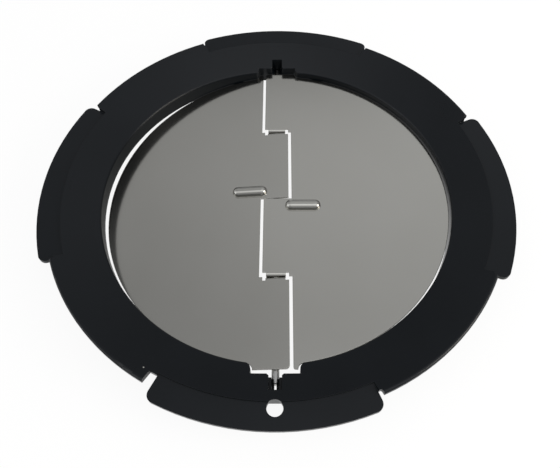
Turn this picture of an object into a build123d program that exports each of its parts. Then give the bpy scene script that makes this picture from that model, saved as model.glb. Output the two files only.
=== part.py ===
from build123d import *
import math
import os

os.makedirs("parts", exist_ok=True)

# Millimetres. Z is up along the duct axis, zero at the underside of the lugs. Y is the hinge line.

# Duct opening and collar
OPENING_R = 75.0
COLLAR_T = 2.2
COLLAR_BOTTOM_Z = -10.3

# Dished flange
FLANGE_W = 20.4
RIM_R = OPENING_R + FLANGE_W
RIM_TOP_Z = 4.8
INNER_EDGE_Z = -3.2
FLANGE_T = 2.6
INNER_EDGE_FILLET = 0.9
RIM_FILLET = 1.0
DISH_SLOPE = (RIM_TOP_Z - INNER_EDGE_Z) / FLANGE_W

# Lugs at the rim, centres in degrees round the axis
LUG_CENTRES = (-1.3, 87.6, 176.6, 267.7)
LUG_SPAN = 49.4
LUG_REACH = 4.2
LUG_T = 1.9
LUG_CORNER_R = 3.0
LUG_ROOT = 2.0
LUG_R = RIM_R + LUG_REACH
STEP_SETBACK = 5.4
STEP_R = RIM_R - STEP_SETBACK
NOTCH_W = 1.2
NOTCH_DEPTH = 1.9
RELIEF_SLOT_W = 3.2
RELIEF_SLOT_DEPTH = 4.6

# Screw hole in the near lug
SCREW_HOLE_D = 5.8
SCREW_HOLE_BITE = 0.9  # how far the hole cuts into the step's foot
SCREW_HOLE_R = STEP_R - SCREW_HOLE_BITE + SCREW_HOLE_D / 2

# Pockets at the two ends of the hinge line
POCKET_HALF_W = 9.0
NEAR_POCKET_DEPTH = 4.0
NEAR_SHOULDER_R = 3.0
FAR_POCKET_DEPTH = 1.7
FAR_SHOULDER_R = 2.0

# Hinge pin, its channels and the bosses that carry it
PIN_D = 3.0
PIN_Z = -8.8
PIN_CLEARANCE = 0.05
PIN_NEAR_REACH = 6.2
PIN_END_GAP = 0.3
CHANNEL_W = 4.8
CHANNEL_FLOOR_Z = -6.4
NEAR_CHANNEL_END = OPENING_R + NEAR_POCKET_DEPTH + 6.5
FAR_CHANNEL_END = OPENING_R + FAR_POCKET_DEPTH + 4.5
THROAT_W = 2.8
MOUTH_CHAMFER = 0.7
BOSS_HALF_W = POCKET_HALF_W + 3.4
BOSS_WALL = 2.0

# Flap sheet
SHEET_T = 0.8
SHEET_TOP_Z = -5.95
FLAP_RIM_GAP = 0.6
FLAP_R = OPENING_R - FLAP_RIM_GAP
FLAP_END_GAP = 0.6
FLAP_HALF_LENGTH = OPENING_R + FAR_POCKET_DEPTH - FLAP_END_GAP
FLAP_END_HALF_W = POCKET_HALF_W - FLAP_RIM_GAP
SLIT_MOUTH_R = 1.5
TONGUE_PITCH = FLAP_HALF_LENGTH / 2
TONGUE_REACH = 5.55
SLIT_W = 1.1
SEAM_GAP = 0.4
BODY_EDGE = TONGUE_REACH + SLIT_W
END_STRIP_W = FLAP_END_HALF_W - BODY_EDGE
BODY_MOUTH_R = 0.45 * END_STRIP_W

# Bent hinge tabs
TAB_W = 8.0
TAB_TIP_R = 4.0
BEND_INNER_R = 0.5
BEND_RELIEF_W = 1.3
BEND_RELIEF_L = 1.6

# Embossed rib
RIB_LENGTH = 15.2
RIB_W = 4.8
RIB_H = 2.4
RIB_START_X = 3.9
RIB_CENTRE_Y = -3.9
RIB_EDGE_R = 2.1
RIB_WALL = 0.7

# Closing stops on the collar wall
STOP_OFFSET_DEG = 15.0
STOP_W = 5.0
STOP_REACH = 3.5
STOP_GAP = 0.15
DROOP_DEG = 5.2


def dish_z(radius):
    """Height of the flange's upper face at a radius."""
    return RIM_TOP_Z - (RIM_R - radius) * DISH_SLOPE


def sector(r_inner, r_outer, start_deg, end_deg, z_low, z_high):
    """Block bounded by two arcs about the duct axis and two radial lines."""
    def at(radius, angle):
        return Vector(radius * math.cos(math.radians(angle)), radius * math.sin(math.radians(angle)))

    middle = (start_deg + end_deg) / 2
    outline = [
        ThreePointArc(at(r_inner, start_deg), at(r_inner, middle), at(r_inner, end_deg)),
        Line(at(r_inner, end_deg), at(r_outer, end_deg)),
        ThreePointArc(at(r_outer, end_deg), at(r_outer, middle), at(r_outer, start_deg)),
        Line(at(r_outer, start_deg), at(r_inner, start_deg)),
    ]
    return Pos(0, 0, z_low) * extrude(make_face(outline), z_high - z_low)


def upright_edges_at(solid, radius):
    """Upright edges of a block that stand at one radius from the duct axis."""
    upright = solid.edges().filter_by(Axis.Z)
    return upright.filter_by(lambda e: abs(math.hypot(e.center().X, e.center().Y) - radius) < 0.05)


def revolved(points):
    """Solid of revolution about the duct axis from radius and height pairs."""
    face = make_face(Polyline(*[(r, 0, z) for r, z in points], close=True))
    return revolve(face, Axis.Z)


def block(x_low, x_high, y_low, y_high, z_low, z_high):
    """Rectangular block between two corners."""
    middle = Pos((x_low + x_high) / 2, (y_low + y_high) / 2, (z_low + z_high) / 2)
    return middle * Box(x_high - x_low, y_high - y_low, z_high - z_low)


def collar_and_flange():
    """Turned section of the ring: collar wall and dished plate with rounded edges."""
    collar_r = OPENING_R + COLLAR_T
    section = make_face(Polyline(
        (OPENING_R, 0, COLLAR_BOTTOM_Z),
        (collar_r, 0, COLLAR_BOTTOM_Z),
        (collar_r, 0, dish_z(collar_r) - FLANGE_T),
        (RIM_R, 0, RIM_TOP_Z - FLANGE_T),
        (RIM_R, 0, RIM_TOP_Z),
        (OPENING_R, 0, INNER_EDGE_Z),
        close=True,
    ))
    for radius, height, round_r in (
            (OPENING_R, INNER_EDGE_Z, INNER_EDGE_FILLET), (RIM_R, RIM_TOP_Z, RIM_FILLET)):
        corner = section.vertices().filter_by(lambda v: math.hypot(v.X - radius, v.Z - height) < 0.01)
        section = fillet(corner, round_r)
    return revolve(section, Axis.Z)


def pivot_boss(channel_end):
    """Block below the plate at the far end of the hinge line, its top inside the plate."""
    plate_middle = FLANGE_T / 2
    below_plate = revolved([
        (OPENING_R, COLLAR_BOTTOM_Z),
        (RIM_R, COLLAR_BOTTOM_Z),
        (RIM_R, RIM_TOP_Z - plate_middle),
        (OPENING_R, INNER_EDGE_Z - plate_middle),
    ])
    end = channel_end + BOSS_WALL
    return block(-BOSS_HALF_W, BOSS_HALF_W, OPENING_R - 3, end, COLLAR_BOTTOM_Z, RIM_TOP_Z) & below_plate


def shoulder_centre(shoulder_r):
    """Centre of the arc that touches the pocket's side and the opening's circle."""
    x = POCKET_HALF_W + shoulder_r
    return Vector(x, math.sqrt((OPENING_R + shoulder_r) ** 2 - x ** 2))


def pivot_pocket(depth, shoulder_r):
    """Clearance through the ring for the flap ends at the far end of the hinge line. Its sides run out into the
    opening in arcs."""
    wall_y = OPENING_R + depth
    centre = shoulder_centre(shoulder_r)
    on_circle = centre * (OPENING_R / (OPENING_R + shoulder_r))
    on_side = Vector(POCKET_HALF_W, centre.Y)
    halfway = ((on_circle - centre).normalized() + (on_side - centre).normalized()).normalized()
    on_arc = centre + halfway * shoulder_r
    start_y = OPENING_R / 2

    def mirrored(point):
        return Vector(-point.X, point.Y)

    outline = [
        Polyline(Vector(-on_circle.X, start_y), Vector(on_circle.X, start_y), on_circle),
        ThreePointArc(on_circle, on_arc, on_side),
        Polyline(on_side, Vector(POCKET_HALF_W, wall_y), Vector(-POCKET_HALF_W, wall_y), mirrored(on_side)),
        ThreePointArc(mirrored(on_side), mirrored(on_arc), mirrored(on_circle)),
        Line(mirrored(on_circle), Vector(-on_circle.X, start_y)),
    ]
    low = COLLAR_BOTTOM_Z - 1
    return Pos(0, 0, low) * extrude(make_face(outline), RIM_TOP_Z + 1 - low)


def pin_channel(wall_y, end_y):
    """Open-topped channel with a snap-in throat and a round seat for one end of the pin."""
    seat_r = PIN_D / 2 + PIN_CLEARANCE
    start = wall_y - 1
    top = RIM_TOP_Z + 1
    wide = block(-CHANNEL_W / 2, CHANNEL_W / 2, start, end_y, CHANNEL_FLOOR_Z, top)
    throat = block(-THROAT_W / 2, THROAT_W / 2, start, end_y, PIN_Z, top)
    seat = Pos(0, (start + end_y) / 2, PIN_Z) * Rot(90, 0, 0) * Cylinder(seat_r, end_y - start)
    mouth_w = CHANNEL_W / 2 + MOUTH_CHAMFER
    mouth = make_face(Polyline(
        (-mouth_w, start), (mouth_w, start), (mouth_w, wall_y), (CHANNEL_W / 2, wall_y + MOUTH_CHAMFER),
        (-CHANNEL_W / 2, wall_y + MOUTH_CHAMFER), (-mouth_w, wall_y), close=True,
    ))
    mouth_cut = Pos(0, 0, CHANNEL_FLOOR_Z) * extrude(mouth, top - CHANNEL_FLOOR_Z)
    return wide + throat + seat + mouth_cut


def closing_stop(angle_deg):
    """Small nib inside the collar, its top sloped like the drooped flap's underside."""
    inner = OPENING_R - STOP_REACH
    half = math.degrees(STOP_W / 2 / OPENING_R)
    nib = sector(inner, OPENING_R + COLLAR_T / 2, angle_deg - half, angle_deg + half,
                 COLLAR_BOTTOM_Z, SHEET_TOP_Z)
    side = 1 if math.cos(math.radians(angle_deg)) > 0 else -1
    underside = SHEET_TOP_Z - SHEET_T - PIN_Z - STOP_GAP
    keep_above = Pos(0, 0, PIN_Z) * Rot(0, side * DROOP_DEG, 0) * block(-90, 90, -90, 90, underside, 40)
    return nib - keep_above


def damper_ring():
    """Moulded ring with lugs, pockets, pin channels, bosses and closing stops."""
    ring = collar_and_flange()
    ring += pivot_boss(FAR_CHANNEL_END)
    ring += Rot(0, 0, 180) * pivot_boss(NEAR_CHANNEL_END)
    notch_deg = math.degrees(NOTCH_W / RIM_R)
    top = RIM_TOP_Z + 1
    for centre in LUG_CENTRES:
        start = centre - LUG_SPAN / 2
        end = centre + LUG_SPAN / 2
        ring -= sector(STEP_R, RIM_R + 2, start, end, -FLANGE_T, top)
        notch = sector(RIM_R - NOTCH_DEPTH, RIM_R + 2, start - notch_deg, end + notch_deg, -FLANGE_T, top)
        ring -= fillet(upright_edges_at(notch, RIM_R - NOTCH_DEPTH), NOTCH_W / 2)
        lug = sector(STEP_R - LUG_ROOT, LUG_R, start, end, 0, LUG_T)
        ring += fillet(upright_edges_at(lug, LUG_R), LUG_CORNER_R)
    slot_end = LUG_CENTRES[-1] - LUG_SPAN / 2
    slot_root = RIM_R - RELIEF_SLOT_DEPTH
    slot = block(slot_root, RIM_R + 2, -RELIEF_SLOT_W, 0, -FLANGE_T, top)
    ring -= Rot(0, 0, slot_end) * slot
    ring -= Pos(0, -SCREW_HOLE_R, 0) * Cylinder(SCREW_HOLE_D / 2, 20)
    ring -= pivot_pocket(FAR_POCKET_DEPTH, FAR_SHOULDER_R)
    ring -= Rot(0, 0, 180) * pivot_pocket(NEAR_POCKET_DEPTH, NEAR_SHOULDER_R)
    ring -= pin_channel(OPENING_R + FAR_POCKET_DEPTH, FAR_CHANNEL_END)
    ring -= Rot(0, 0, 180) * pin_channel(OPENING_R + NEAR_POCKET_DEPTH, NEAR_CHANNEL_END)
    for base in (90, 270):
        for turn in (-STOP_OFFSET_DEG, STOP_OFFSET_DEG):
            ring += closing_stop(base + turn)
    return ring


def hinge_tab(edge_y):
    """Tab bent down at the lower end of a tongue, with its pin hole; its outer face stands at edge_y."""
    bend_outer_r = BEND_INNER_R + SHEET_T
    bottom = PIN_Z - TAB_TIP_R
    lead = bend_outer_r + 0.4
    section = make_face(Polyline(
        (0, lead, SHEET_TOP_Z), (0, 0, SHEET_TOP_Z), (0, 0, bottom), (0, SHEET_T, bottom),
        (0, SHEET_T, SHEET_TOP_Z - SHEET_T), (0, lead, SHEET_TOP_Z - SHEET_T), close=True,
    ))
    for y, z, round_r in ((0, SHEET_TOP_Z, bend_outer_r), (SHEET_T, SHEET_TOP_Z - SHEET_T, BEND_INNER_R)):
        corner = section.vertices().filter_by(lambda v: math.hypot(v.Y - y, v.Z - z) < 0.01)
        section = fillet(corner, round_r)
    tab = Pos(-TAB_W / 2, 0, 0) * extrude(section, TAB_W, dir=(1, 0, 0))
    tip = tab.edges().filter_by(Axis.Y).filter_by(lambda e: e.center().Z < bottom + 0.01)
    tab = fillet(tip, TAB_TIP_R - 0.05)
    tab -= Pos(0, 0, PIN_Z) * Rot(90, 0, 0) * Cylinder(PIN_D / 2 + PIN_CLEARANCE, 20)
    return Pos(0, edge_y, 0) * tab


def rib(rise, inset):
    """Capsule with a rounded crown, lying along X on the sheet."""
    outline = SlotOverall(RIB_LENGTH - 2 * inset, RIB_W - 2 * inset)
    crown = extrude(outline, rise)
    crown = fillet(crown.edges().group_by(Axis.Z)[-1], RIB_EDGE_R - inset)
    return Pos(RIB_START_X + RIB_LENGTH / 2, RIB_CENTRE_Y, 0) * crown


def corner_at(sheet, x, y):
    """Upright edge of the sheet at one corner of its outline."""
    upright = sheet.edges().filter_by(Axis.Z)
    return upright.filter_by(lambda e: math.hypot(e.center().X - x, e.center().Y - y) < 0.05)


def flap():
    """Pressed sheet flap whose half disc lies on the positive X side."""
    low = SHEET_TOP_Z - SHEET_T
    half_gap = SEAM_GAP / 2
    disc = Pos(0, 0, low + SHEET_T / 2) * Cylinder(FLAP_R, SHEET_T)
    sheet = disc & block(BODY_EDGE, FLAP_R + 1, -FLAP_R, FLAP_R, low - 1, SHEET_TOP_Z + 1)
    centre = shoulder_centre(FAR_SHOULDER_R)
    end_x = centre.X * FLAP_R / (OPENING_R + FAR_SHOULDER_R)
    ends = block(BODY_EDGE, end_x, -FLAP_HALF_LENGTH, FLAP_HALF_LENGTH, low, SHEET_TOP_Z)
    for side in (-1, 1):
        ends -= Pos(centre.X, side * centre.Y, low) * Cylinder(FAR_SHOULDER_R + FLAP_RIM_GAP, 4 * SHEET_T)
    sheet += ends
    tongues = [(TONGUE_PITCH + half_gap, FLAP_HALF_LENGTH), (-TONGUE_PITCH + half_gap, -half_gap)]
    for start, end in tongues:
        sheet += block(-TONGUE_REACH, BODY_EDGE + 1, start, end, low, SHEET_TOP_Z)
    for x, y, round_r in (
            (-TONGUE_REACH, FLAP_HALF_LENGTH, SLIT_MOUTH_R), (BODY_EDGE, -FLAP_HALF_LENGTH, BODY_MOUTH_R)):
        sheet = fillet(corner_at(sheet, x, y), round_r)
    half_tab = TAB_W / 2
    bend_outer_r = BEND_INNER_R + SHEET_T
    above = SHEET_TOP_Z + 1
    for edge_y, _ in tongues:
        relief = edge_y + BEND_RELIEF_L
        sheet -= block(half_tab, half_tab + BEND_RELIEF_W, edge_y - 1, relief, low - 1, above)
        sheet -= block(-TONGUE_REACH - 1, -half_tab, edge_y - 1, relief, low - 1, above)
        sheet -= block(-half_tab, half_tab, edge_y - 1, edge_y + bend_outer_r, low - 1, above)
        sheet += hinge_tab(edge_y)
    sheet += Pos(0, 0, low) * rib(RIB_H + SHEET_T, 0)
    sheet -= Pos(0, 0, low) * rib(RIB_H + SHEET_T - RIB_WALL, RIB_WALL)
    return sheet


def swung(solid, degrees):
    """Solid turned about the hinge pin's centre line."""
    return Pos(0, 0, PIN_Z) * Rot(0, degrees, 0) * Pos(0, 0, -PIN_Z) * solid


ring = damper_ring()
pressing = flap()
right_flap = pressing
left_flap = swung(Rot(0, 0, 180) * pressing, -DROOP_DEG)
pin_far_y = FAR_CHANNEL_END - PIN_END_GAP
pin_length = pin_far_y + OPENING_R + PIN_NEAR_REACH
pin = Pos(0, pin_far_y - pin_length / 2, PIN_Z) * Rot(90, 0, 0) * Cylinder(PIN_D / 2, pin_length)
pin = chamfer(pin.edges().filter_by(GeomType.CIRCLE), 0.3)

export_step(ring, "parts/damper_ring.step")
export_step(left_flap, "parts/left_flap.step")
export_step(right_flap, "parts/right_flap.step")
export_step(pin, "parts/hinge_pin.step")
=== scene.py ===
import math

import bpy
from mathutils import Matrix, Vector

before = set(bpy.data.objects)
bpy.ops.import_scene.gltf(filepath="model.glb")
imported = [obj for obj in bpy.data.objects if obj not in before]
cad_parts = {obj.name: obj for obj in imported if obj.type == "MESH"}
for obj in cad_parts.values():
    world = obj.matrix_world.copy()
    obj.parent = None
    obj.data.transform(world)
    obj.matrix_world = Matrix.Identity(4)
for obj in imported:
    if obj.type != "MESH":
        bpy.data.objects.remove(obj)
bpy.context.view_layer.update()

MM = 0.001

# Sockets of the colour mix node that share their names with others of that node.
MIX_LOW, MIX_HIGH, MIX_RESULT = 6, 7, 2

# The photograph's view, as fitted: angles in degrees, lengths in millimetres, the lens in pixels.
VIEW_TURN, VIEW_HEIGHT, VIEW_ROLL = 0.51, 58.98, -0.49
VIEW_DISTANCE = 232.7
VIEW_SHIFT_RIGHT, VIEW_SHIFT_UP = 1.62, -21.25
VIEW_CENTRE_Z = 4.8
PHOTO_FOCAL_PX, PHOTO_WIDTH_PX = 553.4, 560
SENSOR_WIDTH = 36.0
CLIP_START = 5

# Floor: level and half width in millimetres, and the share of it that shows as plain white.
FLOOR_Z = -14.2
FLOOR_HALF = 3000
FLOOR_PAPER, FLOOR_WHITE = "#f2f2f0", "#ffffff"
FLOOR_GLOW = 0.9

# One soft box, low at the right: place and size in millimetres.
KEY_PLACE = (620, -220, 300)
KEY_SIZE = 340
KEY_WATTS = 3.0
KEY_WHITE = "#fff8f0"

# Brightness of the room by direction, as (direction, level) from left (-1) to right (1), and its share from front
# (-1) to back (1).
ROOM_COOL = "#fbfcff"
ROOM_SIDES = [(-0.98, 0.95), (-0.62, 0.72), (-0.4, 0.58), (0.0, 0.82), (0.32, 0.9), (0.62, 0.6), (0.98, 0.5)]
ROOM_DEPTHS = [(-0.96, 0.6), (-0.66, 0.9), (-0.3, 2.3), (0.04, 1.9), (0.2, 1.06), (0.32, 0.84), (0.6, 1.03),
               (0.69, 1.0), (0.77, 0.55), (0.83, 0.4), (0.89, 0.6), (0.96, 0.9)]

# Dust specks on the ring: spacing in millimetres, radius as a share of it, and the share of places left bare.
DUST_SPACING = 9
DUST_RADIUS = 0.03
DUST_BARE = 0.82


def linear(hex_colour):
    """sRGB hex to linear RGBA, by the standard sRGB curve."""
    parts = [int(hex_colour[i:i + 2], 16) / 255 for i in (1, 3, 5)]
    return [c / 12.92 if c <= 0.04045 else ((c + 0.055) / 1.055) ** 2.4 for c in parts] + [1.0]


def per_mm(size_mm):
    """Texture scale at which one period of a pattern is size_mm long."""
    return 1 / (size_mm * MM)


def add(tree, kind, inputs=None, **settings):
    """Adds a node with its settings; each input is a value or the socket that feeds it."""
    made = tree.nodes.new(kind)
    for name, value in settings.items():
        setattr(made, name, value)
    for name, value in (inputs or {}).items():
        if isinstance(value, bpy.types.NodeSocket):
            tree.links.new(value, made.inputs[name])
        else:
            made.inputs[name].default_value = value
    return made


def calc(tree, operation, first, second):
    """Result of one operation on two values or sockets."""
    return add(tree, "ShaderNodeMath", {0: first, 1: second}, operation=operation).outputs[0]


def between(tree, factor, low, high):
    """Number from low to high as factor goes from 0 to 1."""
    return add(tree, "ShaderNodeMapRange", {"Value": factor, "To Min": low, "To Max": high}).outputs["Result"]


def colour_between(tree, factor, low, high):
    """Colour from low to high as factor goes from 0 to 1; each colour is a value or a socket."""
    mix = add(tree, "ShaderNodeMix", {"Factor": factor, MIX_LOW: low, MIX_HIGH: high}, data_type="RGBA")
    return mix.outputs[MIX_RESULT]


def noise(tree, place, scale, detail):
    """Soft noise from 0 to 1."""
    return add(tree, "ShaderNodeTexNoise", {"Vector": place, "Scale": scale, "Detail": detail}).outputs["Fac"]


def lines_along_y(tree, place, spacing_mm, length_mm):
    """Noise drawn out along Y, for rolling and drawing lines."""
    stretch = (per_mm(spacing_mm), per_mm(length_mm), per_mm(spacing_mm))
    drawn_out = add(tree, "ShaderNodeMapping", {"Vector": place, "Scale": stretch})
    return noise(tree, drawn_out.outputs["Vector"], scale=1.0, detail=2.0)


def fine_relief(tree, height, strength, depth_mm, edge_mm):
    """Normal with a fine relief, on edges that look rounded by edge_mm."""
    softened = add(tree, "ShaderNodeBevel", {"Radius": edge_mm * MM}, samples=4)
    bump = add(tree, "ShaderNodeBump", {"Strength": strength, "Distance": depth_mm * MM, "Height": height,
                                        "Normal": softened.outputs["Normal"]})
    return bump.outputs["Normal"]


def new_material(name):
    """Material with an empty node tree, and that tree."""
    material = bpy.data.materials.new(name)
    material.use_nodes = True
    tree = material.node_tree
    tree.nodes.clear()
    return material, tree


def object_place(tree):
    """Place on the piece, in its own frame."""
    return add(tree, "ShaderNodeTexCoord").outputs["Object"]


def finish_surface(tree, inputs):
    """Principled shader on the material's output."""
    shader = add(tree, "ShaderNodeBsdfPrincipled", inputs)
    add(tree, "ShaderNodeOutputMaterial", {"Surface": shader.outputs["BSDF"]})


def dress(node_name, material):
    """Gives one CAD node its finish."""
    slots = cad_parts[node_name].data.materials
    slots.clear()
    slots.append(material)


def moulded_black_polypropylene():
    """Black polypropylene from a satin mould: dark grey-black with a soft broad sheen, faint mould grain,
    slightly uneven gloss and a few specks of dust."""
    material, tree = new_material("moulded_black_polypropylene")
    place = object_place(tree)
    # Mould grain is near 0.2 mm; it is drawn at 0.9 mm so that it shows.
    grain = noise(tree, place, per_mm(0.9), detail=2.0)
    patches = noise(tree, place, per_mm(28), detail=3.0)
    tone = colour_between(tree, patches, linear("#06090c"), linear("#0a0e12"))
    cells = add(tree, "ShaderNodeTexVoronoi", {"Vector": place, "Scale": per_mm(DUST_SPACING)})
    near = calc(tree, "LESS_THAN", cells.outputs["Distance"], DUST_RADIUS)
    pick = add(tree, "ShaderNodeSeparateColor", {"Color": cells.outputs["Color"]})
    few = calc(tree, "GREATER_THAN", pick.outputs["Red"], DUST_BARE)
    dust = calc(tree, "MULTIPLY", near, few)
    finish_surface(tree, {
        "Base Color": colour_between(tree, dust, tone, linear("#8d8d88")),
        "Roughness": between(tree, patches, low=0.24, high=0.34),
        "Normal": fine_relief(tree, grain, strength=0.06, depth_mm=0.1, edge_mm=0.35),
        "IOR": 1.49, "Specular IOR Level": 0.2})
    return material


def rolled_aluminium_sheet():
    """Satin aluminium sheet as rolled: an even dull grey with fine lines along the rolling direction, faint
    smudges in the gloss and softened edges that catch the light."""
    material, tree = new_material("rolled_aluminium_sheet")
    place = object_place(tree)
    # Rolling lines are near 0.1 mm apart; they are drawn 0.7 mm apart so that they show.
    lines = lines_along_y(tree, place, spacing_mm=0.7, length_mm=45)
    smudges = noise(tree, place, per_mm(34), detail=4.0)
    finish_surface(tree, {
        "Base Color": colour_between(tree, smudges, linear("#9d9c96"), linear("#a3a29d")), "Metallic": 1.0,
        "Roughness": between(tree, smudges, low=0.13, high=0.18),
        "Normal": fine_relief(tree, lines, strength=0.04, depth_mm=0.05, edge_mm=0.45)})
    return material


def drawn_steel_rod():
    """Drawn steel rod: bright grey with fine lines along its length."""
    material, tree = new_material("drawn_steel_rod")
    lines = lines_along_y(tree, object_place(tree), spacing_mm=0.3, length_mm=20)
    finish_surface(tree, {
        "Base Color": colour_between(tree, lines, linear("#9a9a98"), linear("#b4b4b2")), "Metallic": 1.0,
        "Roughness": between(tree, lines, low=0.2, high=0.34)})
    return material


def pale_floor():
    """Square floor; it shows white to camera, glossy and transmission rays and keeps a faint shadow."""
    level, half = FLOOR_Z * MM, FLOOR_HALF * MM
    corners = [(-half, -half, level), (half, -half, level), (half, half, level), (-half, half, level)]
    mesh = bpy.data.meshes.new("floor")
    mesh.from_pydata(corners, [], [(0, 1, 2, 3)])
    floor = bpy.data.objects.new("floor", mesh)
    bpy.context.collection.objects.link(floor)
    material, tree = new_material("white_paper_floor")
    path = add(tree, "ShaderNodeLightPath")
    seen = calc(tree, "MAXIMUM", path.outputs["Is Camera Ray"], path.outputs["Is Glossy Ray"])
    seen = calc(tree, "MAXIMUM", seen, path.outputs["Is Transmission Ray"])
    paper = add(tree, "ShaderNodeBsdfDiffuse", {"Color": linear(FLOOR_PAPER)})
    glow = add(tree, "ShaderNodeEmission", {"Color": linear(FLOOR_WHITE), "Strength": 1.0})
    both = add(tree, "ShaderNodeMixShader", {0: calc(tree, "MULTIPLY", seen, FLOOR_GLOW), 1: paper.outputs[0],
                                             2: glow.outputs[0]})
    add(tree, "ShaderNodeOutputMaterial", {"Surface": both.outputs[0]})
    mesh.materials.append(material)


def photo_camera():
    """Camera at the photograph's place, in the part's frame."""
    turn, height, roll = (math.radians(a) for a in (VIEW_TURN, VIEW_HEIGHT, VIEW_ROLL))
    back = Vector((math.sin(turn) * math.cos(height), -math.cos(turn) * math.cos(height), math.sin(height)))
    level_right = Vector((math.cos(turn), math.sin(turn), 0))
    level_up = back.cross(level_right)
    right = level_right * math.cos(roll) + level_up * math.sin(roll)
    up = level_up * math.cos(roll) - level_right * math.sin(roll)
    centre = Vector((0, 0, VIEW_CENTRE_Z))
    eye = (back * VIEW_DISTANCE + right * VIEW_SHIFT_RIGHT + up * VIEW_SHIFT_UP + centre) * MM
    data = bpy.data.cameras.new("photo_camera")
    data.sensor_fit = "HORIZONTAL"
    data.sensor_width = SENSOR_WIDTH
    data.lens = SENSOR_WIDTH * PHOTO_FOCAL_PX / PHOTO_WIDTH_PX
    data.clip_start = CLIP_START * MM
    camera = bpy.data.objects.new("photo_camera", data)
    camera.matrix_world = Matrix(((right.x, up.x, back.x, eye.x), (right.y, up.y, back.y, eye.y),
                                  (right.z, up.z, back.z, eye.z), (0, 0, 0, 1)))
    bpy.context.collection.objects.link(camera)
    bpy.context.scene.camera = camera


def key_lamp():
    """Square soft box aimed at the middle of the damper."""
    data = bpy.data.lights.new("key", "AREA")
    data.size = KEY_SIZE * MM
    data.energy = KEY_WATTS
    data.color = linear(KEY_WHITE)[:3]
    lamp = bpy.data.objects.new("key", data)
    lamp.location = Vector(KEY_PLACE) * MM
    lamp.rotation_euler = (-lamp.location).to_track_quat("-Z", "Y").to_euler()
    bpy.context.collection.objects.link(lamp)


def level_along(tree, place, stops):
    """Grey level along one axis of the room, where place runs from -1 to 1 and stops give place and level."""
    share = add(tree, "ShaderNodeMapRange", {"Value": place, "From Min": -1.0, "From Max": 1.0})
    ramp = add(tree, "ShaderNodeValToRGB", {"Fac": share.outputs["Result"]})
    points = ramp.color_ramp.elements
    for where, grey in stops:
        points.new((where + 1) / 2).color = (grey, grey, grey, 1.0)
    # The ramp's own first and last points go.
    points.remove(points[-1])
    points.remove(points[0])
    return ramp.outputs["Color"]


def pale_room():
    """Pale room, brightest in the ceiling's front half, with a dim band high on the back wall."""
    world = bpy.data.worlds.new("pale_room")
    bpy.context.scene.world = world
    world.use_nodes = True
    tree = world.node_tree
    tree.nodes.clear()
    direction = add(tree, "ShaderNodeTexCoord").outputs["Generated"]
    axes = add(tree, "ShaderNodeSeparateXYZ", {"Vector": direction})
    by_side = level_along(tree, axes.outputs["X"], ROOM_SIDES)
    by_depth = level_along(tree, axes.outputs["Y"], ROOM_DEPTHS)
    level = calc(tree, "MULTIPLY", by_side, by_depth)
    room = add(tree, "ShaderNodeBackground", {"Color": linear(ROOM_COOL), "Strength": level})
    add(tree, "ShaderNodeOutputWorld", {"Surface": room.outputs[0]})


dress("damper_ring", moulded_black_polypropylene())
sheet = rolled_aluminium_sheet()
dress("left_flap", sheet)
dress("right_flap", sheet)
dress("hinge_pin", drawn_steel_rod())

pale_floor()
pale_room()
key_lamp()
photo_camera()
bpy.context.scene.view_settings.view_transform = "Standard"
